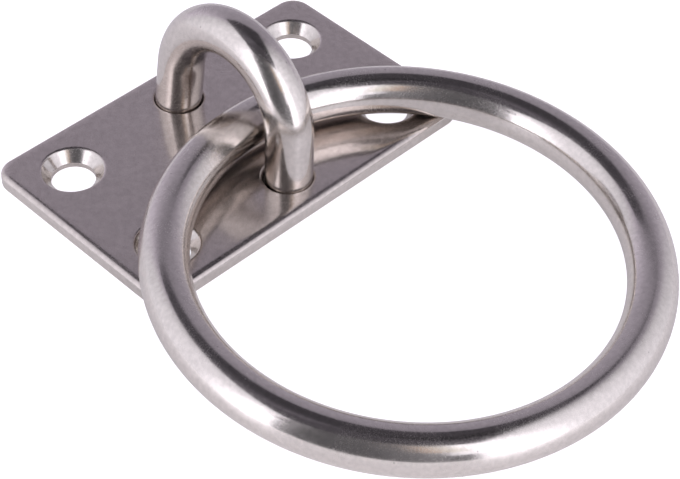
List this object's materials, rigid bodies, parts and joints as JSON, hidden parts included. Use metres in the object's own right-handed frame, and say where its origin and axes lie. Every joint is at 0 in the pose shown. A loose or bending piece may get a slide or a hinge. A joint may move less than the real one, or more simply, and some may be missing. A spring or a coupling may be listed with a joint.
{
  "type": "mooring ring",
  "caption": "Polished steel ring plate: a countersunk rectangular base carries a welded bar staple that holds a free swinging round ring for mooring and tie-down lines.",
  "frame": {"origin": "middle of the base plate's back face, between the staple's legs", "axes": "+Z out of the plate's front face, +Y along the plate's long side, +X across the plate toward the side over which the ring lies at rest"},
  "size_m": [0.105, 0.084, 0.0268],
  "materials": {
    "polished_plate": "mirror polished stainless steel",
    "polished_bar": "mirror polished stainless round bar",
    "weld_metal": "weld metal ground flush"
  },
  "bodies": {
    "plate": {"base_plate": "polished_plate", "staple": "polished_bar", "staple_welds": "weld_metal"},
    "ring": {"ring": "polished_bar"}
  },
  "joints": [
    {"name": "ring_swing", "type": "hinge", "parent": "plate", "child": "ring", "pos_m": [0, -0.0013, 0.00802], "axis": [0, -1, 0], "range_deg": [0, 185.76]}
  ]
}
